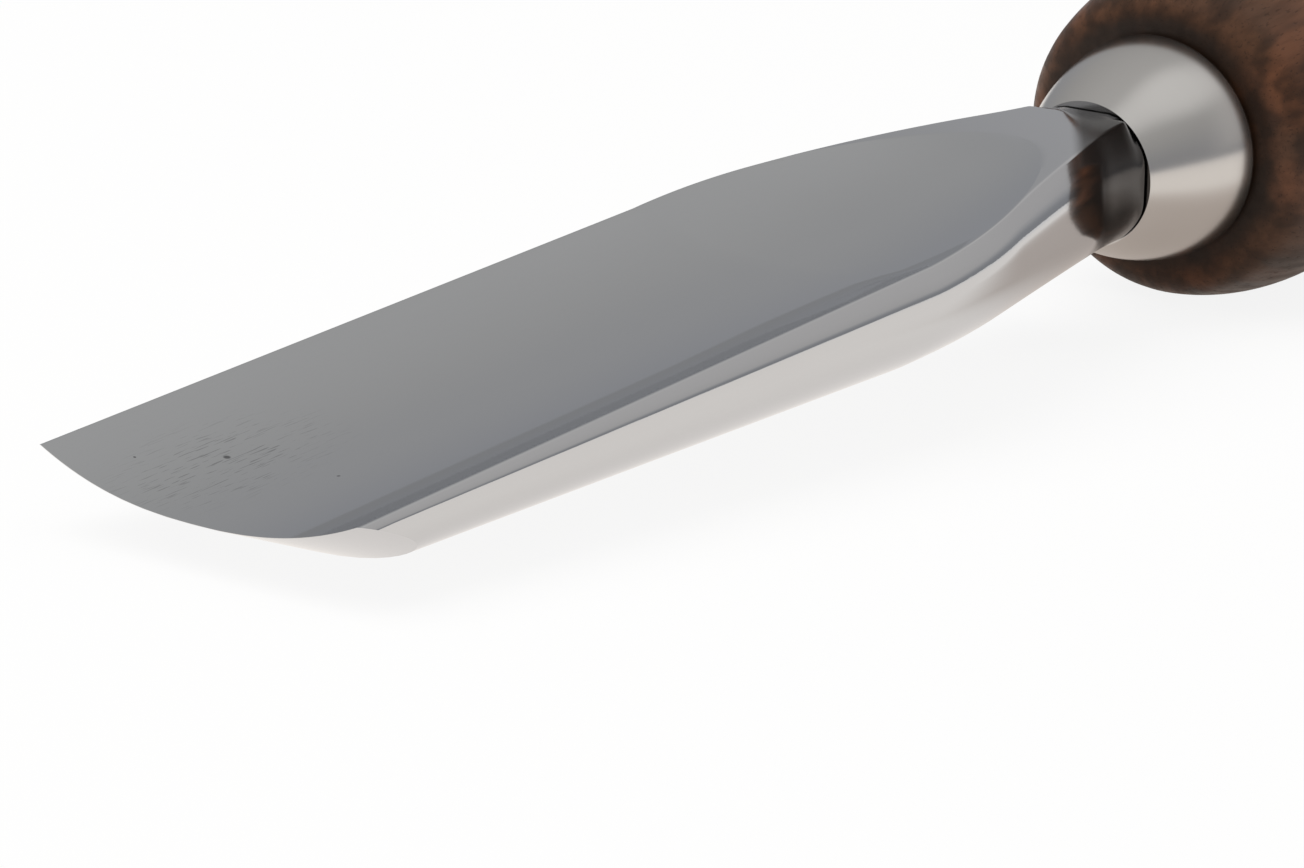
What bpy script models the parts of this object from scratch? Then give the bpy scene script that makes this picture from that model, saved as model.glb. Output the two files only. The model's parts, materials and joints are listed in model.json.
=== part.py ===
"""Sweep gouge for carving wood: a forged blade with its tang, a steel ferrule and a turned handle.

Everything is drawn in the tool's own frame first. X runs along the axis towards the cutting edge,
with x = 0 at the ferrule's rear rim, Y runs across the blade and Z is the side the flute opens to.
An empty then tips that frame, so that the tool lies on a bench on its bulb and its bevel.
"""
import math

import bmesh
import bpy
from mathutils import Vector

# Room left between pieces that touch or seat on each other
FIT_GAP = 0.0003

# Blade, from the cutting edge back to the ferrule
BLADE_WIDTH = 0.0300
BLADE_REACH = 0.1222
SWEEP_DEPTH = 0.00285
SWEEP_FULLNESS = 2.4
RIM_HEIGHT = 0.00415
RIM_SLOPE = 0.020
BACK_HEIGHT = 0.0029
BACK_SLOPE = 0.048
SIDE_HEIGHT = 0.0005
SIDE_GROWTH = 0.021
CHAMFER_HEIGHT = 0.0006
CHAMFER_GROWTH = 0.020
CHAMFER_TILT = math.radians(25)
BEVEL_ANGLE = math.radians(24)
EDGE_LAND = 0.0001
EDGE_NOSE = 0.0004

# Shoulder where the blade draws in to its neck, and the rounded end of the flute
SHOULDER_START = 0.0725
SHOULDER_LENGTH = 0.0570
SHOULDER_EASE = 0.27
SHOULDER_LIFT = 0.0007
FLUTE_STRAIGHT = 0.0860
FLUTE_RUNOUT = 0.0228
RUNOUT_FULLNESS = 2.5
FADE_START = 0.0580
FLUTE_FADE = 0.8
NECK_FLAT = 0.0088
NECK_TOP = 0.0058
NECK_CHAMFER = 0.0034
NECK_SIDE = 0.0042
COLLAR_LENGTH = 0.0020
BOLSTER_STEP = 0.0001

# Tang, the square taper driven into the handle
TANG_LENGTH = 0.0750
TANG_ROOT = 0.0060
TANG_POINT = 0.0032
TANG_OVERLAP = 0.0010

# Ferrule, a pressed cone with a belly
FERRULE_LENGTH = 0.0128
FERRULE_REAR_RADIUS = 0.0109
FERRULE_FRONT_RADIUS = 0.0069
FERRULE_WALL = 0.0012
FERRULE_BELLY = 0.0007

# Handle, from the spigot inside the ferrule to the butt
SPIGOT_SETBACK = 0.0038
BULB_RADIUS = 0.0169
BULB_SETBACK = 0.0144
BULB_NOSE = 0.0258
NOSE_ROUND = 0.0028
NOSE_LAND = 0.0003
WAIST_RADIUS = 0.0128
WAIST_SETBACK = 0.0480
SWELL_RADIUS = 0.0165
SWELL_SETBACK = 0.1040
HANDLE_LENGTH = 0.1380
BUTT_FLAT_RADIUS = 0.0060

# Mesh fineness, and the fold above which an edge is shaded sharp
SHARP_FOLD = math.radians(30)
BACK_STEPS = 12
FLUTE_STEPS = 10
BLADE_RINGS = 9
SHOULDER_RINGS = 14
TURNING_SIDES = 48
FERRULE_RINGS = 7
COLLAR_RINGS = 3
ROUND_STEPS = 5
HANDLE_RINGS = 9
WEDGE_EXTRA_STEPS = 2

# Search for the angle at which the tool lies on a bench
STEEPEST_TILT = math.radians(30)
TILT_HALVINGS = 40

# Places that follow from the sizes
bolster_radius = FERRULE_FRONT_RADIUS - BOLSTER_STEP
bolster_seat = FERRULE_LENGTH + FIT_GAP
tip_x = bolster_seat + BLADE_REACH
neck_end = BLADE_REACH - COLLAR_LENGTH


def clear_scene():
    for item in list(bpy.data.objects):
        bpy.data.objects.remove(item, do_unlink=True)


def finish(name, colour, metallic, roughness):
    material = bpy.data.materials.new(name)
    material.use_nodes = True
    shader = material.node_tree.nodes["Principled BSDF"]
    shader.inputs["Base Color"].default_value = (*colour, 1.0)
    shader.inputs["Metallic"].default_value = metallic
    shader.inputs["Roughness"].default_value = roughness
    return material


def loft(name, rings, tube=False):
    """Join rings of points, given in order along the piece, into one closed mesh object."""
    mesh = bmesh.new()
    loops = [[mesh.verts.new(point) for point in ring] for ring in rings]
    pairs = list(zip(loops, loops[1:]))
    if tube:
        pairs.append((loops[-1], loops[0]))
    else:
        mesh.faces.new(loops[0])
        mesh.faces.new(loops[-1])
    for first, second in pairs:
        for here in range(len(first)):
            after = (here + 1) % len(first)
            mesh.faces.new((first[here], first[after], second[after], second[here]))
    bmesh.ops.recalc_face_normals(mesh, faces=mesh.faces)
    data = bpy.data.meshes.new(name)
    mesh.to_mesh(data)
    mesh.free()
    data.shade_smooth()
    data.set_sharp_from_angle(angle=SHARP_FOLD)
    piece = bpy.data.objects.new(name, data)
    bpy.context.scene.collection.objects.link(piece)
    return piece


def combine(piece, tool, operation):
    """Cut a hidden shape from a piece, or join it on."""
    tool.hide_render = True
    tool.display_type = "WIRE"
    step = piece.modifiers.new(tool.name, "BOOLEAN")
    step.operation = operation
    step.object = tool


def ease(share):
    """Run smoothly from 0 to 1 as share does, level at both ends."""
    return 0.5 - 0.5 * math.cos(math.pi * share)


def mix(start, end, share):
    return start + (end - start) * share


def circle_ring(x, radius):
    turns = [math.tau * step / TURNING_SIDES for step in range(TURNING_SIDES)]
    return [(x, radius * math.cos(turn), radius * math.sin(turn)) for turn in turns]


def square_ring(x, side):
    half = side / 2
    return [(x, half, half), (x, -half, half), (x, -half, -half), (x, half, -half)]


def flute_drop(across, back):
    """Depth of the flute below its rims: a shallow curve across, fading into a rounded runout.

    across runs from -1 to 1 between the rims, back is the distance from the cutting edge.
    """
    fading = max(0.0, (back - FADE_START) / (FLUTE_STRAIGHT + FLUTE_RUNOUT - FADE_START))
    runout = max(0.0, (back - FLUTE_STRAIGHT) / FLUTE_RUNOUT)
    depth = SWEEP_DEPTH * max(0.0, 1.0 - FLUTE_FADE * fading ** 2)
    return depth * max(0.0, 1.0 - abs(across) ** SWEEP_FULLNESS - runout ** RUNOUT_FULLNESS)


def draw_in(share):
    """Narrowing along the shoulder, from 0 to 1: a straight taper, eased where it starts and ends."""
    bend_rate = 1.0 / (2 * SHOULDER_EASE * (1.0 - SHOULDER_EASE))
    if share < SHOULDER_EASE:
        return bend_rate * share ** 2
    if share > 1.0 - SHOULDER_EASE:
        return 1.0 - bend_rate * (1.0 - share) ** 2
    return (share - SHOULDER_EASE / 2) / (1.0 - SHOULDER_EASE)


def half_section(back):
    """Outline of the blade's near half, from the middle of its back round to the middle of the flute.

    The back is half an ellipse, under a flat side and a chamfer along the rim.
    """
    share = min(max((back - SHOULDER_START) / SHOULDER_LENGTH, 0.0), 1.0)
    narrowing = draw_in(share)
    lift = SHOULDER_LIFT * math.sin(math.pi * share)
    rim = mix(BLADE_WIDTH, NECK_FLAT, narrowing) / 2
    rim_z = mix(RIM_HEIGHT + RIM_SLOPE * back, NECK_TOP, narrowing) + lift
    chamfer = mix(CHAMFER_HEIGHT + CHAMFER_GROWTH * back, NECK_CHAMFER, narrowing)
    back_z = mix(-BACK_HEIGHT - BACK_SLOPE * back, -bolster_radius, narrowing) + lift
    side_height = mix(SIDE_HEIGHT + SIDE_GROWTH * back, NECK_SIDE, narrowing)
    side = rim + chamfer * math.tan(CHAMFER_TILT)
    side_top = rim_z - chamfer
    side_foot = side_top - side_height

    outline = []
    for step in range(BACK_STEPS + 1):
        turn = math.pi / 2 * step / BACK_STEPS
        outline.append((side * math.sin(turn), mix(side_foot, back_z, math.cos(turn))))
    outline.append((side, side_top))
    for step in range(FLUTE_STEPS + 1):
        across = 1.0 - step / FLUTE_STEPS
        outline.append((rim * across, rim_z - flute_drop(across, back)))
    return outline


def edge_setback(y):
    """How far the cutting edge lies behind its middle, which leads by a little."""
    return EDGE_NOSE * (2 * y / BLADE_WIDTH) ** 2


def blade_ring(back):
    """One whole section. Over the collar its corners draw in, until it is round under its flat top."""
    near = half_section(back)
    far = [(-y, z) for y, z in reversed(near[1:-1])]
    roundness = 1.0 - math.cos(math.pi / 2 * max(0.0, (back - neck_end) / COLLAR_LENGTH))
    ring = []
    for y, z in near + far:
        reach = max(math.hypot(y, z), bolster_radius)
        pull = mix(1.0, bolster_radius / reach, roundness)
        x = tip_x - back - (edge_setback(y) if back == 0.0 else 0.0)
        ring.append((x, y * pull, z * pull))
    return ring


def bevel_ring(back, floor):
    """One end of the wedge ground off below the cutting edge: the sweep's curve over a flat base."""
    top = []
    last = FLUTE_STEPS + WEDGE_EXTRA_STEPS
    for step in range(-last, last + 1):
        across = step / FLUTE_STEPS
        sweep = RIM_HEIGHT - SWEEP_DEPTH * (1.0 - abs(across) ** SWEEP_FULLNESS)
        height = sweep - EDGE_LAND - back * math.tan(BEVEL_ANGLE)
        y = across * BLADE_WIDTH / 2
        top.append((tip_x - back - edge_setback(y), y, height))
    base = [(x, y, floor) for x, y, _ in reversed(top)]
    return top + base


def tang_shape(name, clearance):
    """The tang's square taper, grown by a clearance on every side for the socket."""
    front = bolster_seat + TANG_OVERLAP
    point = bolster_seat - TANG_LENGTH
    grow = 2 * clearance
    rings = [
        square_ring(front, TANG_ROOT + grow),
        square_ring(bolster_seat, TANG_ROOT + grow),
        square_ring(point - clearance, TANG_POINT + grow),
    ]
    return loft(name, rings)


def make_blade():
    backs = [SHOULDER_START * step / BLADE_RINGS for step in range(BLADE_RINGS)]
    shoulder = neck_end - SHOULDER_START
    backs += [SHOULDER_START + shoulder * step / SHOULDER_RINGS for step in range(SHOULDER_RINGS)]
    backs += [neck_end + COLLAR_LENGTH * step / COLLAR_RINGS for step in range(COLLAR_RINGS + 1)]
    blade = loft("blade", [blade_ring(back) for back in backs])

    # The wedge starts ahead of the edge and ends where it has passed twice as deep as the heel
    thickness = RIM_HEIGHT + BACK_HEIGHT
    heel = thickness / (math.tan(BEVEL_ANGLE) - BACK_SLOPE)
    floor = -2 * heel
    wedge = loft("bevel_wedge", [bevel_ring(-heel, floor), bevel_ring(2 * heel, floor)])
    tang = tang_shape("tang", 0.0)
    combine(blade, wedge, "DIFFERENCE")
    combine(blade, tang, "UNION")
    blade.data.materials.append(finish("polished_steel", (0.60, 0.60, 0.61), 1.0, 0.15))
    return blade, [wedge, tang]


def ferrule_radius(x):
    share = x / FERRULE_LENGTH
    belly = FERRULE_BELLY * math.sin(math.pi * share)
    return mix(FERRULE_REAR_RADIUS, FERRULE_FRONT_RADIUS, share) + belly


def make_ferrule():
    places = [FERRULE_LENGTH * step / FERRULE_RINGS for step in range(FERRULE_RINGS + 1)]
    outer = [circle_ring(x, ferrule_radius(x)) for x in places]
    inner = [circle_ring(x, ferrule_radius(x) - FERRULE_WALL) for x in reversed(places)]
    ferrule = loft("ferrule", outer + inner, tube=True)
    ferrule.data.materials.append(finish("ferrule_steel", (0.58, 0.56, 0.54), 1.0, 0.2))
    return ferrule


def nose_radius(x):
    """Radius of the ellipse that the bulb's front follows."""
    return BULB_RADIUS * math.sqrt(1.0 - ((x + BULB_SETBACK) / BULB_NOSE) ** 2)


def nose_slope(x):
    return -(x + BULB_SETBACK) * (BULB_RADIUS / BULB_NOSE) ** 2 / nose_radius(x)


def bend(first, corner, last):
    """Points of a round that swings from first to just before last, inside a corner."""
    points = []
    for step in range(ROUND_STEPS):
        share = step / ROUND_STEPS
        near = first.lerp(corner, share)
        points.append(near.lerp(corner.lerp(last, share), share))
    return points


def turned_profile():
    """The handle's outline as (x, radius), from the spigot's end to the rim of the butt's flat."""
    spigot_end = FERRULE_LENGTH - SPIGOT_SETBACK
    shoulder = -FIT_GAP
    inside = FERRULE_WALL + FIT_GAP
    profile = []
    for step in range(FERRULE_RINGS + 1):
        x = mix(spigot_end, 0.0, step / FERRULE_RINGS)
        profile.append((x, ferrule_radius(x) - inside))
    profile.append((shoulder, FERRULE_REAR_RADIUS - inside))

    round_end = shoulder - NOSE_ROUND
    land = Vector((shoulder, FERRULE_REAR_RADIUS + NOSE_LAND))
    rim = Vector((round_end, nose_radius(round_end)))
    corner = Vector((shoulder, rim.y + nose_slope(round_end) * NOSE_ROUND))
    profile += bend(land, corner, rim)
    for step in range(HANDLE_RINGS):
        x = mix(round_end, -BULB_SETBACK, step / HANDLE_RINGS)
        profile.append((x, nose_radius(x)))
    for step in range(HANDLE_RINGS):
        share = step / HANDLE_RINGS
        x = mix(-BULB_SETBACK, -WAIST_SETBACK, share)
        profile.append((x, mix(BULB_RADIUS, WAIST_RADIUS, ease(share))))
    for step in range(HANDLE_RINGS):
        share = step / HANDLE_RINGS
        x = mix(-WAIST_SETBACK, -SWELL_SETBACK, share)
        profile.append((x, mix(WAIST_RADIUS, SWELL_RADIUS, ease(share))))
    for step in range(HANDLE_RINGS + 1):
        turn = math.pi / 2 * step / HANDLE_RINGS
        x = mix(-SWELL_SETBACK, -HANDLE_LENGTH, math.sin(turn))
        profile.append((x, mix(BUTT_FLAT_RADIUS, SWELL_RADIUS, math.cos(turn))))
    return profile


def make_handle():
    handle = loft("handle", [circle_ring(x, radius) for x, radius in turned_profile()])
    socket = tang_shape("tang_socket", FIT_GAP)
    combine(handle, socket, "DIFFERENCE")
    handle.data.materials.append(finish("stained_wood", (0.055, 0.028, 0.017), 0.0, 0.45))
    return handle, [socket]


def solid_points(piece):
    """The corners of a piece as it stands after its cuts and joins, in the tool's frame."""
    solid = piece.evaluated_get(bpy.context.evaluated_depsgraph_get())
    return [corner.co.copy() for corner in solid.data.vertices]


def lowest(points, tilt):
    return min(point.z * math.cos(tilt) - point.x * math.sin(tilt) for point in points)


def resting_tilt(blade_points, handle_points):
    """The tilt, tip down, at which the blade and the handle touch the bench together."""
    level, steep = 0.0, STEEPEST_TILT
    for _ in range(TILT_HALVINGS):
        tilt = (level + steep) / 2
        if lowest(handle_points, tilt) < lowest(blade_points, tilt):
            level = tilt
        else:
            steep = tilt
    return tilt


def lay_on_bench(blade, ferrule, handle, helpers):
    """Hang every piece on one tipped empty, with the row's origin on the bench under the middle."""
    blade_points = solid_points(blade)
    handle_points = solid_points(handle)
    tilt = resting_tilt(blade_points, handle_points)
    axis = bpy.data.objects.new("tool_axis", None)
    bpy.context.scene.collection.objects.link(axis)
    axis.rotation_euler.y = tilt
    for item in [blade, ferrule, handle] + helpers:
        item.parent = axis
    bpy.context.view_layer.update()
    laid = [axis.matrix_world @ point for point in blade_points + handle_points]
    middle = (min(point.x for point in laid) + max(point.x for point in laid)) / 2
    axis.location = (-middle, 0.0, -min(point.z for point in laid))
    bpy.context.view_layer.update()
    butt = axis.matrix_world @ Vector((-HANDLE_LENGTH, 0.0, 0.0))
    print("tilt in degrees", round(math.degrees(tilt), 4))
    print("middle of the butt", [round(value, 6) for value in butt])
    print("butt faces", [round(-value, 6) for value in axis.matrix_world.col[0].xyz])


clear_scene()
blade, blade_helpers = make_blade()
ferrule = make_ferrule()
handle, handle_helpers = make_handle()
lay_on_bench(blade, ferrule, handle, blade_helpers + handle_helpers)
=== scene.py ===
# %% [markdown]
# # Dressing a carving gouge
#
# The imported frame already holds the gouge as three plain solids: a forged blade, a steel ferrule and a
# turned handle. This lesson gives each of them the surface of the real tool. We draw finer meshes from
# the same sizes, finish them with procedural steel and wood, and light them like a catalogue picture.

# %% Load the frame
import json
import math

import bmesh
import bpy
from mathutils import Matrix, Vector


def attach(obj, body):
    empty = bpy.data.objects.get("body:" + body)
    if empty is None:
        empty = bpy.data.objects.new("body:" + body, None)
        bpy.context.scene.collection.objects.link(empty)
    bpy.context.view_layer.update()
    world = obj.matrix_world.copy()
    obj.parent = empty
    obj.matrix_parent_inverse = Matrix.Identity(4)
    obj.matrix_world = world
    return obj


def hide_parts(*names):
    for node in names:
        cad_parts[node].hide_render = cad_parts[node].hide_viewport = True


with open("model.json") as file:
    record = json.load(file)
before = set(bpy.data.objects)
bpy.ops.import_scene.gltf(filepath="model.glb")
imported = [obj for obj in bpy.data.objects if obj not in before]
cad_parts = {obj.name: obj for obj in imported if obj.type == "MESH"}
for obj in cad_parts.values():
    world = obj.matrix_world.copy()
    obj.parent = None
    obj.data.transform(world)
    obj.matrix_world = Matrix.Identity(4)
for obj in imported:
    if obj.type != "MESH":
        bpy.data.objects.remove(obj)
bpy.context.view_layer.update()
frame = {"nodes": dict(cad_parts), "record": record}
print("solids in the frame:", sorted(frame["nodes"]))

# %% [markdown]
# ## The tool's own axis
#
# The gouge lies on a bench, tipped towards its edge, so its axis isn't level. Drawing a tipped shape is
# awkward. Instead we draw everything along X, with x = 0 at the ferrule's rear rim, and let one matrix
# lay the pieces down. The frame tells us that matrix: the butt's mount gives a point on the axis and its
# direction.

# %% Find the tool's axis from the mount on its butt
HANDLE_LENGTH = 0.1380

butt = next(mount for mount in frame["record"]["mounts"] if mount["name"] == "butt_face")
along = -Vector(butt["axis"]).normalized()
across = Vector((0.0, 1.0, 0.0))
upward = along.cross(across)
axis_start = Vector(butt["pos_m"]) + along * HANDLE_LENGTH
tool_axis = Matrix.Translation(axis_start) @ Matrix((along, across, upward)).transposed().to_4x4()
print("the tool dips by", round(math.degrees(math.asin(-along.z)), 2), "degrees")

# %% [markdown]
# ## The camera
#
# The picture looks down on the flute from ahead and from one side. Its long lens keeps the far end of
# the blade nearly as large as the near end. The camera could be placed from the bench, but it is easier
# to describe from the tool: where it stands, and which point of the tool it looks at.

# %% Place the camera
CAMERA_PLACE = Vector((0.3427, 0.1919, 0.1026))
CAMERA_AIM = Vector((0.0806, 0.0, -0.0069))
CAMERA_LENS = 117.2
CAMERA_SENSOR = 36.0
CAMERA_NEAR = 0.01

camera = bpy.data.objects.new("camera", bpy.data.cameras.new("camera"))
bpy.context.scene.collection.objects.link(camera)
camera.data.lens = CAMERA_LENS
camera.data.sensor_width = CAMERA_SENSOR
camera.data.clip_start = CAMERA_NEAR
camera_turn = (CAMERA_AIM - CAMERA_PLACE).to_track_quat("-Z", "Y").to_matrix().to_4x4()
camera.matrix_world = tool_axis @ Matrix.Translation(CAMERA_PLACE) @ camera_turn
bpy.context.scene.camera = camera
print("camera stands at", [round(value, 3) for value in camera.matrix_world.translation])

# %% [markdown]
# ## Rings into meshes
#
# All three pieces are long, so each can be a loft: a row of rings with equally many points, joined by
# quads. A subdivision surface would take fewer points, but polished steel mirrors every unevenness, and
# a loft puts each point exactly where the shape wants it. The ends are closed by fans of triangles. The
# cutting edge is a ring that has collapsed into a line, and a single face there would span the flute's
# open end, so that ring is zipped shut from its middle outwards. Points that fall together are merged
# afterwards. Edges that fold by more than a few degrees stay crisp, and the rest is shaded smooth.

# %% A loft for every piece
MERGE_DISTANCE = 0.000002
CRISP_FOLD = math.radians(14)


def zip_edge(mesh, loop):
    """Close a ring that has collapsed into a keen edge, with triangles from its middle to its ends."""
    half = len(loop) // 2
    for side in (loop[:half + 1], loop[:1] + loop[:half - 1:-1]):
        low, high = 0, half
        while high - low > 1:
            if abs(side[low + 1].co.y) < abs(side[high - 1].co.y):
                mesh.faces.new((side[low], side[low + 1], side[high]))
                low += 1
            else:
                mesh.faces.new((side[low], side[high - 1], side[high]))
                high -= 1


def skin(rings, tube, keen):
    """A closed mesh over a row of rings: a tube without ends, a keen first end, or two flat ends."""
    mesh = bmesh.new()
    loops = [[mesh.verts.new(point) for point in ring] for ring in rings]
    pairs = list(zip(loops, loops[1:]))
    if tube:
        pairs.append((loops[-1], loops[0]))
    else:
        caps = [mesh.faces.new(loops[-1])]
        if keen:
            zip_edge(mesh, loops[0])
        else:
            caps.append(mesh.faces.new(loops[0]))
        bmesh.ops.poke(mesh, faces=caps)
    for first, second in pairs:
        for here in range(len(first)):
            after = (here + 1) % len(first)
            mesh.faces.new((first[here], first[after], second[after], second[here]))
    return mesh


def loft(name, rings, tube=False, keen=False):
    """Skin a row of rings into one closed, smooth object that lies along the tool's axis."""
    mesh = skin(rings, tube, keen)
    bmesh.ops.remove_doubles(mesh, verts=mesh.verts, dist=MERGE_DISTANCE)
    bmesh.ops.dissolve_degenerate(mesh, edges=mesh.edges, dist=MERGE_DISTANCE)
    bmesh.ops.recalc_face_normals(mesh, faces=mesh.faces)
    data = bpy.data.meshes.new(name)
    mesh.to_mesh(data)
    mesh.free()
    data.shade_smooth()
    data.set_sharp_from_angle(angle=CRISP_FOLD)
    piece = bpy.data.objects.new(name, data)
    bpy.context.scene.collection.objects.link(piece)
    piece.matrix_world = tool_axis
    return piece


print("edges that fold by over", round(math.degrees(CRISP_FOLD)), "degrees stay crisp")

# %% Let a piece stand for its solid


def dress(piece, node):
    """Let a piece stand for its solid in the frame."""
    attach(piece, "root")
    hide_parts(node)
    print(piece.name, "has", len(piece.data.polygons), "faces and replaces", node)


# %% [markdown]
# ## The blade's section
#
# A gouge's blade is a shallow trough. Its flute is a little fuller than a parabola between two rims, its
# back is half an ellipse, and between them the smith left a flat side and ground a chamfer along the
# rim. Buffing rounds every edge a little, and those small rounds catch most of the light. A Bevel
# modifier could add them, but it knows nothing of the flute's end, so the section itself carries them.
# The back's points are spaced by the turn of the surface and not by distance, because a mirror shows the
# turn.

# %% Sizes of the straight blade
BLADE_WIDTH = 0.0300
BLADE_REACH = 0.1222
SWEEP_DEPTH = 0.00285
SWEEP_FULLNESS = 2.4
RIM_HEIGHT = 0.00415
RIM_SLOPE = 0.020
RIM_ROUND = 0.00020
BACK_HEIGHT = 0.0029
BACK_SLOPE = 0.048
SIDE_HEIGHT = 0.0005
SIDE_GROWTH = 0.021
CHAMFER_HEIGHT = 0.0006
CHAMFER_GROWTH = 0.020
CHAMFER_TILT = math.radians(25)
CHAMFER_ROUND = 0.45

print("the flute is", round(1000 * SWEEP_DEPTH, 2), "mm deep in", round(1000 * BLADE_WIDTH, 1), "mm")

# %% Sizes of the shoulder and the neck
FIT_GAP = 0.0003
FERRULE_LENGTH = 0.0128
FERRULE_FRONT_RADIUS = 0.0069
BOLSTER_STEP = 0.0001
SHOULDER_START = 0.0725
SHOULDER_LENGTH = 0.0570
SHOULDER_EASE = 0.27
SHOULDER_LIFT = 0.0007
FLUTE_STRAIGHT = 0.0860
FLUTE_RUNOUT = 0.0228
RUNOUT_FULLNESS = 2.5
FADE_START = 0.0580
FLUTE_FADE = 0.8
NECK_FLAT = 0.0088
NECK_TOP = 0.0058
NECK_CHAMFER = 0.0034
NECK_SIDE = 0.0042
COLLAR_LENGTH = 0.0020

bolster_radius = FERRULE_FRONT_RADIUS - BOLSTER_STEP
bolster_seat = FERRULE_LENGTH + FIT_GAP
tip_x = bolster_seat + BLADE_REACH
neck_end = BLADE_REACH - COLLAR_LENGTH
print("the cutting edge is", round(1000 * tip_x, 1), "mm ahead of the ferrule's rear rim")

# %% The flute and its rounded end
MARGIN_STEPS = 4
FLUTE_STEPS = 24


def mix(first, last, share):
    return first + (last - first) * share


def runout(back):
    """How far a section lies into the flute's rounded end, from 0 where it starts to 1 where it is gone."""
    return max(0.0, (back - FLUTE_STRAIGHT) / FLUTE_RUNOUT)


def flute_drop(share, back):
    """Depth of the flute below its rims, which fades into a rounded runout towards the neck."""
    fading = max(0.0, (back - FADE_START) / (FLUTE_STRAIGHT + FLUTE_RUNOUT - FADE_START))
    depth = SWEEP_DEPTH * max(0.0, 1.0 - FLUTE_FADE * fading ** 2)
    return depth * max(0.0, 1.0 - share ** SWEEP_FULLNESS - runout(back) ** RUNOUT_FULLNESS)


def flute_shares(back, rim):
    """Where the flute's points lie from the rim's round to the middle, with one on the flute's border."""
    border = max(0.0, 1.0 - runout(back) ** RUNOUT_FULLNESS) ** (1.0 / SWEEP_FULLNESS)
    outer = 1.0 - RIM_ROUND / rim
    border = min(border, outer)
    margin = [mix(outer, border, step / MARGIN_STEPS) for step in range(MARGIN_STEPS)]
    return margin + [border * (1.0 - step / FLUTE_STEPS) for step in range(FLUTE_STEPS + 1)]


print("the flute ends", round(1000 * (FLUTE_STRAIGHT + FLUTE_RUNOUT), 1), "mm behind the edge")

# %% One section of the blade
BACK_STEPS = 24
ROUND_STEPS = 7


def bend(first, corner, last):
    """Points of a small round that swings from first to last inside a corner."""
    points = []
    for step in range(ROUND_STEPS + 1):
        share = step / ROUND_STEPS
        near = first.lerp(corner, share)
        points.append(near.lerp(corner.lerp(last, share), share))
    return points


def draw_in(share):
    """Narrowing along the shoulder, from 0 to 1: a straight taper, eased where it starts and ends."""
    bend_rate = 1.0 / (2 * SHOULDER_EASE * (1.0 - SHOULDER_EASE))
    if share < SHOULDER_EASE:
        return bend_rate * share ** 2
    if share > 1.0 - SHOULDER_EASE:
        return 1.0 - bend_rate * (1.0 - share) ** 2
    return (share - SHOULDER_EASE / 2) / (1.0 - SHOULDER_EASE)


def half_section(back):
    """Outline of half the blade, as points (y, z) from the middle of its back to that of its flute."""
    share = min(max((back - SHOULDER_START) / SHOULDER_LENGTH, 0.0), 1.0)
    narrowing = draw_in(share)
    lift = SHOULDER_LIFT * math.sin(math.pi * share)
    rim = mix(BLADE_WIDTH, NECK_FLAT, narrowing) / 2
    rim_z = mix(RIM_HEIGHT + RIM_SLOPE * back, NECK_TOP, narrowing) + lift
    chamfer = mix(CHAMFER_HEIGHT + CHAMFER_GROWTH * back, NECK_CHAMFER, narrowing)
    back_z = mix(-BACK_HEIGHT - BACK_SLOPE * back, -bolster_radius, narrowing) + lift
    side_height = mix(SIDE_HEIGHT + SIDE_GROWTH * back, NECK_SIDE, narrowing)
    side = rim + chamfer * math.tan(CHAMFER_TILT)
    foot = rim_z - chamfer - side_height
    depth = foot - back_z

    outline = []
    for step in range(BACK_STEPS):
        lean = math.tan(math.pi / 2 * step / BACK_STEPS)
        turn = math.atan(lean * side / depth)
        outline.append(Vector((side * math.sin(turn), foot - depth * math.cos(turn))))
    outline.append(Vector((side, foot)))
    corner = Vector((side, rim_z - chamfer))
    edge = Vector((rim, rim_z))
    slope = (edge - corner).normalized()
    reach = CHAMFER_ROUND * (edge - corner).length
    outline += bend(corner - Vector((0.0, min(reach, side_height))), corner, corner + slope * reach)
    shares = flute_shares(back, rim)
    inner = Vector((rim * shares[0], rim_z - flute_drop(shares[0], back)))
    outline += bend(edge - slope * RIM_ROUND, edge, inner)
    outline += [Vector((rim * place, rim_z - flute_drop(place, back))) for place in shares[1:]]
    return outline


section_points = len(half_section(0.0))
print("a half section has", section_points, "points")

# %% [markdown]
# ## Grinding the bevel
#
# The bevel is ground under the blade until it meets the flute in the cutting edge. It could be cut with
# a Boolean, but that leaves slivers that spoil a mirror finish. Here each line along the blade's back
# starts where the bevel meets it instead. A few halvings find that place, the heel, and the bevel is
# then the set of straight lines from the edge to the heel.

# %% Where the bevel meets the back
BEVEL_ANGLE = math.radians(24)
EDGE_LAND = 0.00004
EDGE_NOSE = 0.0004
HEEL_LIMIT = 0.020
HEEL_HALVINGS = 30


def edge_setback(y):
    """How far the cutting edge lies behind its middle, which leads by a little."""
    return EDGE_NOSE * (2 * y / BLADE_WIDTH) ** 2


def bevel_height(y, back):
    """Height of the bevel's ground face, which starts a hair below the flute."""
    sweep = RIM_HEIGHT - SWEEP_DEPTH * (1.0 - (2 * y / BLADE_WIDTH) ** SWEEP_FULLNESS)
    return sweep - EDGE_LAND - (back - edge_setback(y)) * math.tan(BEVEL_ANGLE)


def line_start(index):
    """Distance behind the edge at which one line of the section leaves the bevel."""
    tip = half_section(0.0)[index]
    ahead = edge_setback(tip.x)
    if tip.y >= bevel_height(tip.x, ahead):
        return ahead
    behind = HEEL_LIMIT
    for _ in range(HEEL_HALVINGS):
        middle = (ahead + behind) / 2
        point = half_section(middle)[index]
        if point.y < bevel_height(point.x, middle):
            ahead = middle
        else:
            behind = middle
    return behind


starts = [line_start(index) for index in range(section_points)]
print("the bevel is", round(1000 * starts[0], 1), "mm long in the middle")

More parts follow.
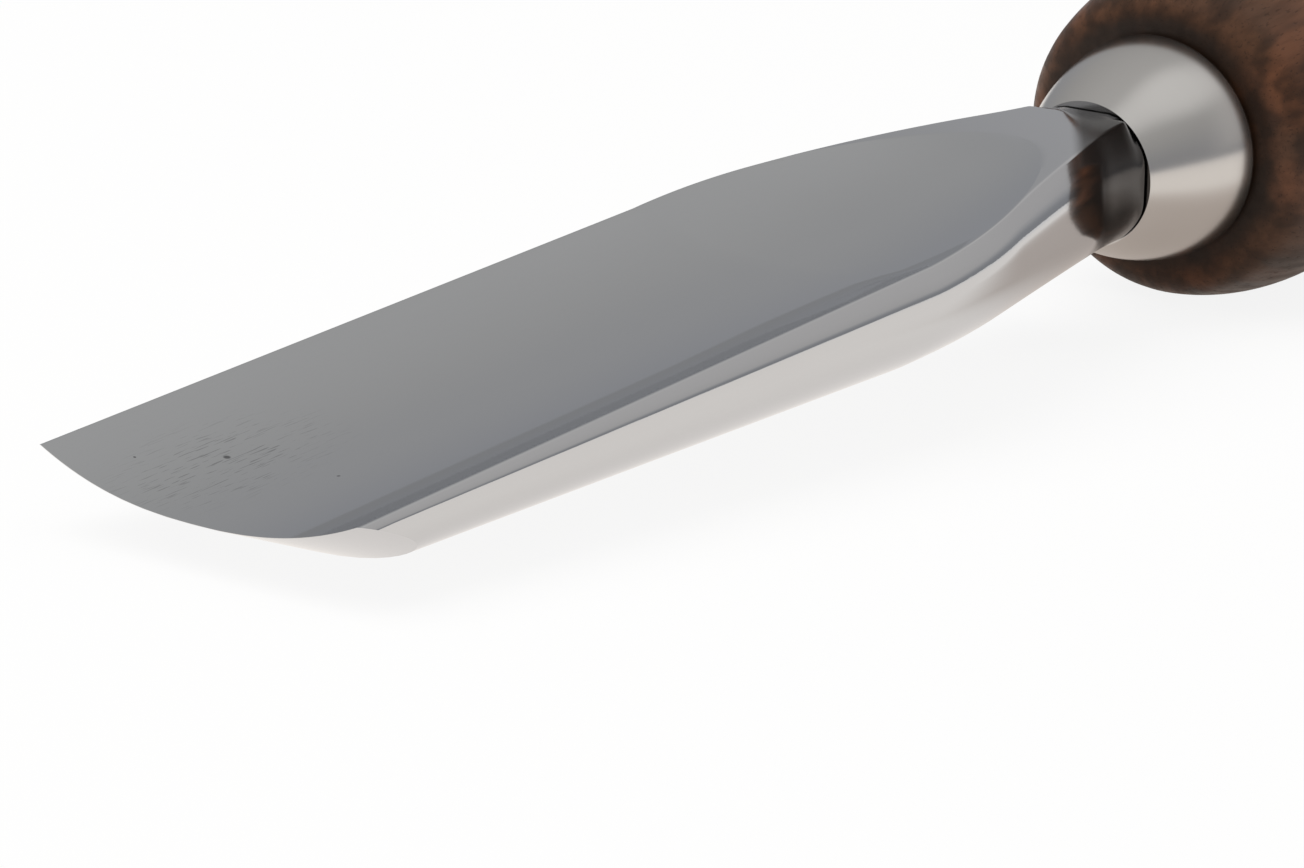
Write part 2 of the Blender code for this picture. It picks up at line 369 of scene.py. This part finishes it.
# %% [markdown]
# ## From edge to tang
#
# Now the rings follow each other: from the cutting edge down the bevel to the heel, along the straight
# blade, through the shoulder where it draws in, and along the neck to the bolster, which butts against
# the ferrule. Behind it the same forging goes on as a square tang inside the handle. It never shows and
# could be left out, but the steel is one piece, so the mesh is one piece too.

# %% Rings of the bevel and the straight blade


def whole_ring(points):
    """Mirror half a ring of points (x, y, z) to the other side of the blade."""
    return points + [Vector((x, -y, z)) for x, y, z in reversed(points[1:-1])]


def bevel_ring(share):
    """A ring of the bevel, which collapses into the cutting edge at share 0."""
    points = []
    for index, begin in enumerate(starts):
        y, z = half_section(begin)[index]
        point = Vector((begin, y, z))
        if begin > edge_setback(y):
            edge_y = min(y, BLADE_WIDTH / 2)
            ahead = edge_setback(edge_y)
            point = Vector((ahead, edge_y, bevel_height(edge_y, ahead))).lerp(point, share)
        points.append(Vector((tip_x - point.x, point.y, point.z)))
    return whole_ring(points)


def straight_ring(share):
    """A ring between the heel, at share 0, and the start of the shoulder."""
    points = []
    for index, begin in enumerate(starts):
        back = mix(begin, SHOULDER_START, share)
        y, z = half_section(back)[index]
        points.append(Vector((tip_x - back, y, z)))
    return whole_ring(points)


print("a whole ring has", len(straight_ring(0.0)), "points")

# %% Rings of the neck and the tang
TANG_LENGTH = 0.0750
TANG_ROOT = 0.0060
TANG_POINT = 0.0032


def neck_ring(back):
    """A ring of the shoulder. Over the collar its corners draw in, until it is round under its flat top."""
    roundness = 1.0 - math.cos(math.pi / 2 * max(0.0, (back - neck_end) / COLLAR_LENGTH))
    points = []
    for y, z in half_section(back):
        reach = max(math.hypot(y, z), bolster_radius)
        pull = mix(1.0, bolster_radius / reach, roundness)
        points.append(Vector((tip_x - back, y * pull, z * pull)))
    return whole_ring(points)


def square_ring(x, side, ring):
    """A square with as many points as a ring, each in the direction of the ring's own point."""
    points = []
    for _, y, z in ring:
        shrink = side / 2 / max(abs(y), abs(z))
        points.append(Vector((x, y * shrink, z * shrink)))
    return points


print("the tang narrows to", round(1000 * TANG_POINT, 1), "mm")

# %% Loft the blade
BEVEL_RINGS = 6
BLADE_RINGS = 30
SHOULDER_RINGS = 48
COLLAR_RINGS = 10

blade_rings = [bevel_ring(step / BEVEL_RINGS) for step in range(BEVEL_RINGS + 1)]
blade_rings += [straight_ring(step / BLADE_RINGS) for step in range(1, BLADE_RINGS + 1)]
for step in range(1, SHOULDER_RINGS + 1):
    blade_rings.append(neck_ring(mix(SHOULDER_START, neck_end, step / SHOULDER_RINGS)))
for step in range(1, COLLAR_RINGS + 1):
    blade_rings.append(neck_ring(mix(neck_end, BLADE_REACH, step / COLLAR_RINGS)))
collar = blade_rings[-1]
blade_rings.append(square_ring(bolster_seat, TANG_ROOT, collar))
blade_rings.append(square_ring(bolster_seat - TANG_LENGTH, TANG_POINT, collar))
blade = loft("gouge_blade", blade_rings, keen=True)
dress(blade, "blade")

# %% [markdown]
# ## The ferrule
#
# The ferrule is a pressed steel cone with a slight belly, which keeps the handle from splitting. A Screw
# modifier could turn it from a profile, but the loft that we have does so as well, with one circle for
# each point of the profile. The rear rim is rolled into a half round as thick as the wall, which draws a
# thin bright line before the wood.

# %% Carry a profile round the axis
TURNING_SIDES = 128


def circle_ring(x, radius):
    turns = [math.tau * step / TURNING_SIDES for step in range(TURNING_SIDES)]
    return [Vector((x, radius * math.cos(turn), radius * math.sin(turn))) for turn in turns]


def turned_rings(profile):
    """One circle for each point (x, radius) of a profile."""
    return [circle_ring(x, radius) for x, radius in profile]


print("a turned ring has", TURNING_SIDES, "points")

# %% Loft the ferrule
FERRULE_REAR_RADIUS = 0.0109
FERRULE_WALL = 0.0012
FERRULE_BELLY = 0.0007
FERRULE_RINGS = 20
LIP_STEPS = 10


def ferrule_radius(x):
    """Outer radius of the ferrule: a cone with a small belly."""
    share = x / FERRULE_LENGTH
    belly = FERRULE_BELLY * math.sin(math.pi * share)
    return mix(FERRULE_REAR_RADIUS, FERRULE_FRONT_RADIUS, share) + belly


half_wall = FERRULE_WALL / 2
lip_middle = ferrule_radius(half_wall) - half_wall
lip_turns = [math.pi * step / LIP_STEPS for step in range(LIP_STEPS)]
wall_places = [mix(half_wall, FERRULE_LENGTH, step / FERRULE_RINGS) for step in range(FERRULE_RINGS + 1)]
lip = [
    (half_wall - half_wall * math.sin(turn), lip_middle - half_wall * math.cos(turn))
    for turn in lip_turns
]
outside = [(x, ferrule_radius(x)) for x in wall_places]
inside = [(x, ferrule_radius(x) - FERRULE_WALL) for x in reversed(wall_places[1:])]
ferrule = loft("steel_ferrule", turned_rings(lip + outside + inside), tube=True)
dress(ferrule, "ferrule")

# %% [markdown]
# ## The handle
#
# The handle is turned on a lathe. It swells to a bulb behind the ferrule, draws in to a waist for the
# fingers and swells again for the palm. A hand-drawn curve could trace that, but a few radii and places
# are easier to change. The nose is part of an ellipse, the waist and swell are joined by eased curves,
# and the butt is a quarter round with a small flat. The spigot inside the ferrule and the square socket
# for the tang belong to it as well.

# %% The spigot and the bulb's nose
SPIGOT_SETBACK = 0.0038
SPIGOT_STEPS = 6
BULB_RADIUS = 0.0169
BULB_SETBACK = 0.0144
BULB_NOSE = 0.0258
NOSE_ROUND = 0.0028
NOSE_LAND = 0.0003
HANDLE_STEPS = 24

spigot_end = FERRULE_LENGTH - SPIGOT_SETBACK


def spigot_profile():
    """The turned stub under the ferrule, from its front to the step behind the ferrule."""
    under = FERRULE_WALL + FIT_GAP
    places = [mix(spigot_end, 0.0, step / SPIGOT_STEPS) for step in range(SPIGOT_STEPS + 1)]
    return [(x, ferrule_radius(x) - under) for x in places] + [(-FIT_GAP, FERRULE_REAR_RADIUS - under)]


def nose_radius(x):
    """Radius of the ellipse that the bulb's front follows."""
    return BULB_RADIUS * math.sqrt(1.0 - ((x + BULB_SETBACK) / BULB_NOSE) ** 2)


def nose_slope(x):
    return -(x + BULB_SETBACK) * (BULB_RADIUS / BULB_NOSE) ** 2 / nose_radius(x)


def nose_profile():
    """A narrow land around the ferrule, a round, and the ellipse up to the bulb's widest place."""
    round_end = -FIT_GAP - NOSE_ROUND
    land = Vector((-FIT_GAP, FERRULE_REAR_RADIUS + NOSE_LAND))
    rim = Vector((round_end, nose_radius(round_end)))
    corner = Vector((-FIT_GAP, rim.y + nose_slope(round_end) * NOSE_ROUND))
    places = [mix(round_end, -BULB_SETBACK, step / HANDLE_STEPS) for step in range(1, HANDLE_STEPS)]
    return bend(land, corner, rim) + [(x, nose_radius(x)) for x in places]


print("the spigot stands", round(1000 * spigot_end, 1), "mm into the ferrule")

# %% The waist, the swell and the butt
WAIST_RADIUS = 0.0128
WAIST_SETBACK = 0.0480
SWELL_RADIUS = 0.0165
SWELL_SETBACK = 0.1040
BUTT_FLAT_RADIUS = 0.0060


def ease(share):
    """Run smoothly from 0 to 1 as share does, level at both ends."""
    return 0.5 - 0.5 * math.cos(math.pi * share)


def eased_profile(first, wide, last, narrow):
    """From one setback and radius towards the next, without the last point."""
    shares = [step / HANDLE_STEPS for step in range(HANDLE_STEPS)]
    return [(-mix(first, last, share), mix(wide, narrow, ease(share))) for share in shares]


def butt_profile():
    """A quarter round from the swell to the small flat at the end."""
    points = []
    for step in range(HANDLE_STEPS + 1):
        turn = math.pi / 2 * step / HANDLE_STEPS
        x = mix(-SWELL_SETBACK, -HANDLE_LENGTH, math.sin(turn))
        points.append((x, mix(BUTT_FLAT_RADIUS, SWELL_RADIUS, math.cos(turn))))
    return points


handle_profile = spigot_profile() + nose_profile()
handle_profile += eased_profile(BULB_SETBACK, BULB_RADIUS, WAIST_SETBACK, WAIST_RADIUS)
handle_profile += eased_profile(WAIST_SETBACK, WAIST_RADIUS, SWELL_SETBACK, SWELL_RADIUS)
handle_profile += butt_profile()
print("the handle's profile has", len(handle_profile), "points")

# %% Loft the handle with the tang's socket
handle_rings = turned_rings(handle_profile)
tang_share = (bolster_seat - spigot_end) / (TANG_LENGTH + FIT_GAP)
socket_mouth = mix(TANG_ROOT, TANG_POINT, tang_share) + 2 * FIT_GAP
socket_end = bolster_seat - TANG_LENGTH - FIT_GAP
socket_rings = [
    square_ring(socket_end, TANG_POINT + 2 * FIT_GAP, handle_rings[0]),
    square_ring(spigot_end, socket_mouth, handle_rings[0]),
]
handle = loft("turned_handle", socket_rings + handle_rings)
dress(handle, "handle")

# %% [markdown]
# ## Shader arithmetic
#
# A procedural finish is a formula over the surface. Wiring that by hand takes dozens of nodes, so a
# small class wraps a socket: adding or multiplying two wires adds the Math node, and one method makes
# any other node.

# %% A wire that can be used in formulas


def pick(sockets, name):
    """The socket in use with this number or name."""
    usable = [socket for socket in sockets if socket.enabled]
    if isinstance(name, int):
        return usable[name]
    return next(socket for socket in usable if socket.name == name)


class Wire:
    """A node socket that can be used in a Python expression."""

    def __init__(self, tree, socket=None):
        self.tree = tree
        self.socket = socket

    def node(self, kind, settings=None, inputs=None, output=0):
        """Add a node of any kind, set it up, fill or link its sockets, and give one output back."""
        made = self.tree.nodes.new(kind)
        for name, value in (settings or {}).items():
            setattr(made, name, value)
        for name, value in (inputs or {}).items():
            target = pick(made.inputs, name)
            if isinstance(value, Wire):
                self.tree.links.new(value.socket, target)
            else:
                target.default_value = value
        return Wire(self.tree, pick(made.outputs, output))

    def maths(self, operation, first, second):
        return self.node("ShaderNodeMath", {"operation": operation}, {0: first, 1: second})

    def __add__(self, other):
        return self.maths("ADD", self, other)

    def __sub__(self, other):
        return self.maths("SUBTRACT", self, other)

    def __rsub__(self, other):
        return self.maths("SUBTRACT", other, self)

    def __mul__(self, other):
        return self.maths("MULTIPLY", self, other)

    __radd__ = __add__
    __rmul__ = __mul__


# %% Masks, colours, vectors and noise
MEASURES = ("LENGTH", "DISTANCE", "DOT_PRODUCT")


def smooth(value, low, high):
    """A mask that rises smoothly from 0 at low to 1 at high."""
    settings = {"interpolation_type": "SMOOTHSTEP"}
    inputs = {"Value": value, "From Min": low, "From Max": high, "To Min": 0.0, "To Max": 1.0}
    return value.node("ShaderNodeMapRange", settings, inputs)


def blend(mask, first, second):
    """Mix two colours, each a wire or a triple."""
    colours = [value if isinstance(value, Wire) else (*value, 1.0) for value in (first, second)]
    inputs = {"Factor": mask, "A": colours[0], "B": colours[1]}
    return mask.node("ShaderNodeMix", {"data_type": "RGBA"}, inputs)


def vectors(operation, first, *others):
    """Vector Math on a wire and other wires or triples. A measure gives a number, the rest a vector."""
    output = "Value" if operation in MEASURES else "Vector"
    inputs = dict(enumerate((first, *others)))
    return first.node("ShaderNodeVectorMath", {"operation": operation}, inputs, output)


def cloud(place, scale, detail):
    """Soft noise in cycles per metre along each axis."""
    inputs = {"Vector": vectors("MULTIPLY", place, scale), "Scale": 1.0, "Detail": detail}
    return place.node("ShaderNodeTexNoise", None, inputs)


def patchy(place, scale, detail, low, high):
    """A mask of the places where soft noise rises from low to high."""
    return smooth(cloud(place, scale, detail), low, high)


# %% Start a finish and feed its shader


def finish_on(piece, name):
    """Give a piece a fresh material, and return its shader and a wire with the place along the tool."""
    material = bpy.data.materials.new(name)
    material.use_nodes = True
    piece.data.materials.clear()
    piece.data.materials.append(material)
    shader = material.node_tree.nodes["Principled BSDF"]
    place = Wire(material.node_tree).node("ShaderNodeTexCoord", output="Object")
    return shader, place


def coordinate(place, axis):
    """One coordinate of a place: X, Y or Z."""
    return place.node("ShaderNodeSeparateXYZ", None, {"Vector": place}, axis)


def feed(shader, name, wire):
    wire.tree.links.new(wire.socket, shader.inputs[name])


def emboss(shader, height, strength, depth):
    """Press a pattern of heights into a shader's surface."""
    inputs = {"Strength": strength, "Distance": depth, "Height": height}
    feed(shader, "Normal", height.node("ShaderNodeBump", None, inputs))


# %% [markdown]
# ## Polished steel
#
# The blade is ground and buffed along its length, so fine lines run along X, and a few short drag marks
# and pits are left near the edge. Close to the ferrule the buffing stops and the steel is still black
# from the forge, further forward on the sides than on the flat top. That dark zone is also a painted
# reflection of the dark handle, and its border slants across the flat top as a mirror image would. Paint
# on the mesh could show all that, but masks over the tool's own coordinates stay sharp at any distance.
# The metal stays metal everywhere: only its colour and its roughness change.

# %% Where the steel is black from the forge and darkened by a painted reflection of the handle
BLACK_ON_SIDES = 0.0245
BLACK_ON_TOP = 0.0150
PAINTED_REFLECTION_SLANT = 1.6
BLACK_SOFTNESS = 0.0014
TOP_STARTS = 0.0045
TOP_ENDS = 0.0057

blade_shader, blade_place = finish_on(blade, "polished_steel")
blade_x, blade_y, blade_z = [coordinate(blade_place, axis) for axis in "XYZ"]
on_top = smooth(blade_z, TOP_STARTS, TOP_ENDS)
# The slant of the border across the flat top is a painted reflection of the dark handle.
top_limit = BLACK_ON_TOP + PAINTED_REFLECTION_SLANT * blade_y
black_limit = BLACK_ON_SIDES - (BLACK_ON_SIDES - top_limit) * on_top
# This mask covers forge black and a painted reflection of the dark handle.
black = 1.0 - smooth(blade_x - black_limit, -BLACK_SOFTNESS, BLACK_SOFTNESS)
print("the sides are black for", round(1000 * (BLACK_ON_SIDES - bolster_seat), 1), "mm")

# %% Drag marks and pits near the edge
BELOW_FLUTE = 0.0008
FLUTE_FLOOR = 0.0013
DASHES = {"scale": (450.0, 7500.0, 1200.0), "detail": 1.0, "low": 0.61, "high": 0.67}
MARKS_MIDDLE = (0.1250, -0.0056, 0.0)
MARKS_STRETCH = (90.0, 180.0, 0.0)
MARKS_FULL = 0.3
MARKS_GONE = 1.3
FROM_ABOVE = (1.0, 1.0, 0.0)
PITS = [
    ((0.1243, -0.0065, 0.0), 0.00035),
    ((0.1298, -0.0105, 0.0), 0.00014),
    ((0.1220, 0.0022, 0.0), 0.00018),
]
PIT_WEIGHT = 2.0

in_flute = smooth(blade_z, BELOW_FLUTE, FLUTE_FLOOR)
off_middle = vectors("MULTIPLY", vectors("SUBTRACT", blade_place, MARKS_MIDDLE), MARKS_STRETCH)
marked = 1.0 - smooth(vectors("LENGTH", off_middle), MARKS_FULL, MARKS_GONE)
marks = patchy(blade_place, **DASHES) * marked * in_flute
seen_from_above = vectors("MULTIPLY", blade_place, FROM_ABOVE)
for pit_place, pit_radius in PITS:
    distance = vectors("DISTANCE", seen_from_above, pit_place)
    marks = marks + PIT_WEIGHT * (1.0 - smooth(distance, pit_radius / 2, pit_radius)) * in_flute
print("the marks lie about", round(1000 * (tip_x - MARKS_MIDDLE[0]), 1), "mm behind the edge")

# %% Finish the blade
STEEL = (0.60, 0.605, 0.615)
STEEL_MARKED = (0.12, 0.12, 0.125)
# Forge black, made darker as a painted reflection of the dark handle.
STEEL_BLACK_AND_PAINTED_REFLECTION = (0.065, 0.060, 0.056)
EDGE_TINT = (0.91, 0.915, 0.93)
BUFFING_LINES = {"scale": (60.0, 9000.0, 9000.0), "detail": 3.0}
LINES_BUMP = 0.02
LINES_DEPTH = 0.00005
MARKS_SHOWN = 0.42
LINES_SHOWN = 0.03
BUFFED_ROUGHNESS = 0.035
LINES_ROUGHNESS = 0.03
BLACK_ROUGHNESS = 0.12

lines = cloud(blade_place, **BUFFING_LINES)
steel = blend(MARKS_SHOWN * marks + LINES_SHOWN * lines, STEEL, STEEL_MARKED)
feed(blade_shader, "Base Color", blend(black, steel, STEEL_BLACK_AND_PAINTED_REFLECTION))
feed(blade_shader, "Roughness", BUFFED_ROUGHNESS + LINES_ROUGHNESS * lines + BLACK_ROUGHNESS * black)
emboss(blade_shader, lines, LINES_BUMP, LINES_DEPTH)
blade_shader.inputs["Metallic"].default_value = 1.0
blade_shader.inputs["Specular Tint"].default_value = (*EDGE_TINT, 1.0)
print("the blade's finish has", len(blade_place.tree.nodes), "nodes")

# %% [markdown]
# ## The ferrule's steel
#
# The ferrule is polished on the lathe, so its fine lines run round it. An anisotropic shader could imply
# them, but real lines are easy here: noise that changes fast along X and slowly across.

# %% Finish the ferrule
FERRULE_STEEL = (0.62, 0.60, 0.58)
FERRULE_DARK = (0.40, 0.38, 0.36)
POLISHING_RINGS = {"scale": (9000.0, 120.0, 120.0), "detail": 3.0}
RINGS_BUMP = 0.002
RINGS_DEPTH = 0.00002
RINGS_SHOWN = 0.06
FERRULE_ROUGHNESS = 0.18
RINGS_ROUGHNESS = 0.05

ferrule_shader, ferrule_place = finish_on(ferrule, "ferrule_steel")
polish = cloud(ferrule_place, **POLISHING_RINGS)
feed(ferrule_shader, "Base Color", blend(RINGS_SHOWN * polish, FERRULE_STEEL, FERRULE_DARK))
feed(ferrule_shader, "Roughness", FERRULE_ROUGHNESS + RINGS_ROUGHNESS * polish)
emboss(ferrule_shader, polish, RINGS_BUMP, RINGS_DEPTH)
ferrule_shader.inputs["Metallic"].default_value = 1.0
print("the ferrule's finish has", len(ferrule_place.tree.nodes), "nodes")

# %% [markdown]
# ## Stained wood
#
# The handle is a close-grained hardwood under a dark brown stain and a thin lacquer. Wrapping a flat
# pattern round it would leave a seam. Noise in space has none, and stretched along X it gives grain that
# runs along the tool and turns into spots on the butt. Where the wood is denser the stain takes less and
# a red-brown shows. In the corner at the ferrule the wood is darkened by painted shade.

# %% The grain
PATCHES = {"scale": (40.0, 130.0, 130.0), "detail": 2.0, "low": 0.45, "high": 0.65}
BANDS = {"scale": (30.0, 320.0, 320.0), "detail": 2.0, "low": 0.42, "high": 0.62}
STREAKS = {"scale": (60.0, 1100.0, 1100.0), "detail": 3.0, "low": 0.35, "high": 0.65}
PORES = {"scale": (400.0, 4200.0, 4200.0), "detail": 1.0, "low": 0.62, "high": 0.70}
AWAY_FROM_AXIS = (0.0, 1.0, 1.0)
SHADE_FULL_RADIUS = 0.0115
SHADE_CLEAR_RADIUS = 0.0138
SHADE_CLEAR_X = -0.006
SHADE_FULL_X = -0.002

handle_shader, handle_place = finish_on(handle, "stained_wood")
patches = patchy(handle_place, **PATCHES)
bands = patchy(handle_place, **BANDS)
streaks = patchy(handle_place, **STREAKS)
pores = patchy(handle_place, **PORES)
from_axis = vectors("LENGTH", vectors("MULTIPLY", handle_place, AWAY_FROM_AXIS))
# Painted shade: the wood darkens in the corner by the ferrule, within a ring around the axis.
near_ferrule = smooth(coordinate(handle_place, "X"), SHADE_CLEAR_X, SHADE_FULL_X)
painted_shade_at_ferrule = (1.0 - smooth(from_axis, SHADE_FULL_RADIUS, SHADE_CLEAR_RADIUS)) * near_ferrule
shade_reach = SHADE_CLEAR_RADIUS - FERRULE_REAR_RADIUS
# The reach printed here is that of the painted shade by the ferrule.
print("the stain gathers within", round(1000 * shade_reach, 1), "mm of the ferrule")

# %% Finish the handle
STAIN = (0.090, 0.040, 0.020)
STAIN_RED = (0.185, 0.070, 0.032)
# Dark stain for the grain, and also the colour of the painted shade at the ferrule.
DARK_STAIN_AND_SHADE = (0.013, 0.007, 0.004)
PATCHES_SHOWN = 0.6
BANDS_SHOWN = 0.62
STREAKS_SHOWN = 0.25
PORES_SHOWN = 0.35
FERRULE_SHADE_SHOWN = 0.8
LACQUER_ROUGHNESS = 0.36
STREAKS_ROUGHNESS = 0.10
PORES_ROUGHNESS = 0.10
LACQUER_SHINE = 0.24
STREAKS_HEIGHT = 0.4
GRAIN_BUMP = 0.15
GRAIN_DEPTH = 0.0001

wood = blend(PATCHES_SHOWN * patches, STAIN, STAIN_RED)
wood = blend(BANDS_SHOWN * bands, wood, DARK_STAIN_AND_SHADE)
wood = blend(STREAKS_SHOWN * streaks, wood, DARK_STAIN_AND_SHADE)
wood = blend(PORES_SHOWN * pores, wood, DARK_STAIN_AND_SHADE)
# Painted shade in the corner at the ferrule.
wood = blend(FERRULE_SHADE_SHOWN * painted_shade_at_ferrule, wood, DARK_STAIN_AND_SHADE)
feed(handle_shader, "Base Color", wood)
feed(handle_shader, "Roughness", LACQUER_ROUGHNESS + STREAKS_ROUGHNESS * streaks + PORES_ROUGHNESS * pores)
emboss(handle_shader, STREAKS_HEIGHT * streaks - pores, GRAIN_BUMP, GRAIN_DEPTH)
handle_shader.inputs["Specular IOR Level"].default_value = LACQUER_SHINE
print("the handle's finish has", len(handle_place.tree.nodes), "nodes")

# %% [markdown]
# ## The floor
#
# Polished steel shows its surroundings more than itself, so they are part of the finish. The floor is
# white to the camera because most of it glows there, and part of it stays an ordinary matt surface, which
# keeps a soft shadow. A brighter lamp could make it white too, but would wash out the wood. To the steel's
# mirror the floor is a little warmer, and near the handle it is darker and browner: a painted shadow of
# the handle, with the brown light that the handle throws painted into it.

# %% Lay the floor
FLOOR_SIZE = 6.0

half_floor = FLOOR_SIZE / 2
floor_corners = [(-half_floor, -half_floor, 0), (half_floor, -half_floor, 0)]
floor_corners += [(half_floor, half_floor, 0), (-half_floor, half_floor, 0)]
floor_mesh = bpy.data.meshes.new("floor")
floor_mesh.from_pydata(floor_corners, [], [(0, 1, 2, 3)])
floor = bpy.data.objects.new("floor", floor_mesh)
bpy.context.scene.collection.objects.link(floor)
print("the floor is", FLOOR_SIZE, "m wide")

# %% What the steel sees of the floor
UNDER_BLADE = (1.0, 0.95, 0.90)
# Painted shadow, with painted brown bounce light, on the mirrored floor near the handle.
SHADOW_UNDER_HANDLE = (0.60, 0.53, 0.48)
FAR_FLOOR = (0.90, 0.88, 0.86)
HANDLE_ZONE_END = 0.002
BLADE_ZONE_START = 0.045
ZONE_HALF_WIDTH = 0.018
ZONE_FADED = 0.045
NEAR_FLOOR_END = 0.2
FAR_FLOOR_START = 0.8

floor_material = bpy.data.materials.new("white_floor")
floor_material.use_nodes = True
floor_mesh.materials.append(floor_material)
floor_tree = floor_material.node_tree
spot = Wire(floor_tree).node("ShaderNodeTexCoord", output="Object")
floor_y = coordinate(spot, "Y")
# Masks that place the painted shadow beside and behind the handle.
ahead_of_handle = smooth(coordinate(spot, "X"), HANDLE_ZONE_END, BLADE_ZONE_START)
beside_handle = smooth(floor_y * floor_y, ZONE_HALF_WIDTH ** 2, ZONE_FADED ** 2)
clear_of_handle_shadow = 1.0 - (1.0 - ahead_of_handle) * (1.0 - beside_handle)
near_floor = blend(clear_of_handle_shadow, SHADOW_UNDER_HANDLE, UNDER_BLADE)
far = smooth(vectors("LENGTH", spot), NEAR_FLOOR_END, FAR_FLOOR_START)
mirrored_floor = blend(far, near_floor, FAR_FLOOR)
print("the floor's mirror image has", len(floor_tree.nodes), "nodes")

# %% Finish the floor
FLOOR_MATT = (0.93, 0.92, 0.91)
FLOOR_SEEN = (1.0, 1.0, 1.0)
GLOW_SEEN = 0.88
GLOW_MIRRORED = 0.90

camera_ray, glossy_ray, clear_ray = [
    spot.node("ShaderNodeLightPath", output=name)
    for name in ("Is Camera Ray", "Is Glossy Ray", "Is Transmission Ray")
]
glow_share = GLOW_SEEN * (camera_ray + clear_ray) + GLOW_MIRRORED * glossy_ray
matt = spot.node("ShaderNodeBsdfDiffuse", None, {"Color": (*FLOOR_MATT, 1.0)})
glow = spot.node("ShaderNodeEmission", None, {"Color": blend(glossy_ray, FLOOR_SEEN, mirrored_floor)})
surface = spot.node("ShaderNodeMixShader", None, {0: glow_share, 1: matt, 2: glow})
feed(floor_tree.nodes["Material Output"], "Surface", surface)
print("the floor's finish has", len(floor_tree.nodes), "nodes")

# %% [markdown]
# ## The room and its lamp
#
# The air above is a grey studio, darker at the horizon, with a pale wall behind the tool and a softbox's
# glow above it, because a mirror needs light and dark to look like steel. Real panels would do that as
# well, but a formula over the direction of view has no edges. A large lamp overhead lights the wood. It
# doesn't show in the steel, where it would be one white patch.

# %% Directions in the room
WALL_HEADING = math.radians(165)
SOFTBOX_HEADING = math.radians(130)
SOFTBOX_RISE = math.radians(62)


def heading(turn, rise):
    """A direction given by its turn from +X and its rise above the floor."""
    level = math.cos(rise)
    return Vector((level * math.cos(turn), level * math.sin(turn), math.sin(rise)))


wall_direction = heading(WALL_HEADING, 0.0)
softbox_direction = heading(SOFTBOX_HEADING, SOFTBOX_RISE)
print("the softbox stands towards", [round(value, 2) for value in softbox_direction])

# %% Light in the room
WALL_EDGE = 0.55
WALL_CORE = 0.85
WALL_FOOT = 0.03
WALL_BODY = 0.14
SOFTBOX_EDGE = math.cos(math.radians(29))
SOFTBOX_CORE = math.cos(math.radians(10))
AIR_STRENGTH = 0.31
RISE_STRENGTH = 0.24
WALL_STRENGTH = 0.17
SOFTBOX_STRENGTH = 0.28

room = bpy.data.worlds.new("studio")
bpy.context.scene.world = room
room.use_nodes = True
room_tree = room.node_tree
view = Wire(room_tree).node("ShaderNodeTexCoord", output="Generated")
view_rise = coordinate(view, "Z")
wall_spread = smooth(vectors("DOT_PRODUCT", view, wall_direction), WALL_EDGE, WALL_CORE)
wall_light = wall_spread * smooth(view_rise, WALL_FOOT, WALL_BODY)
softbox_light = smooth(vectors("DOT_PRODUCT", view, softbox_direction), SOFTBOX_EDGE, SOFTBOX_CORE)
lit_air = AIR_STRENGTH + RISE_STRENGTH * view_rise
strength = lit_air + WALL_STRENGTH * wall_light + SOFTBOX_STRENGTH * softbox_light
feed(room_tree.nodes["Background"], "Strength", strength)
print("the room's light has", len(room_tree.nodes), "nodes")

# %% Colour in the room
LOW_TINT = (0.96, 0.98, 1.03)
HIGH_TINT = (1.0, 1.0, 0.99)
WALL_TINT = (1.02, 1.0, 0.99)
HIGH_RISE = 0.6

air = blend(smooth(view_rise, 0.0, HIGH_RISE), LOW_TINT, HIGH_TINT)
feed(room_tree.nodes["Background"], "Color", blend(wall_light, air, WALL_TINT))
print("the room's shader has", len(room_tree.nodes), "nodes")

# %% Hang the lamp
LAMP_PLACE = Vector((0.6, -0.5, 1.3))
LAMP_SIZE = 1.6
LAMP_POWER = 16.0

lamp_light = bpy.data.lights.new("overhead_lamp", "AREA")
lamp_light.shape = "DISK"
lamp_light.size = LAMP_SIZE
lamp_light.energy = LAMP_POWER
lamp = bpy.data.objects.new("overhead_lamp", lamp_light)
bpy.context.scene.collection.objects.link(lamp)
lamp.location = LAMP_PLACE
lamp.rotation_euler = (-LAMP_PLACE).to_track_quat("-Z", "Y").to_euler()
lamp.visible_glossy = False
print("the lamp is", LAMP_SIZE, "m across")

# %% [markdown]
# ## Hand over
# ## Finish
# The picture keeps its colours as they are written, so the view transform is the plain one.

# %% Finish
bpy.context.scene.view_settings.view_transform = "Standard"
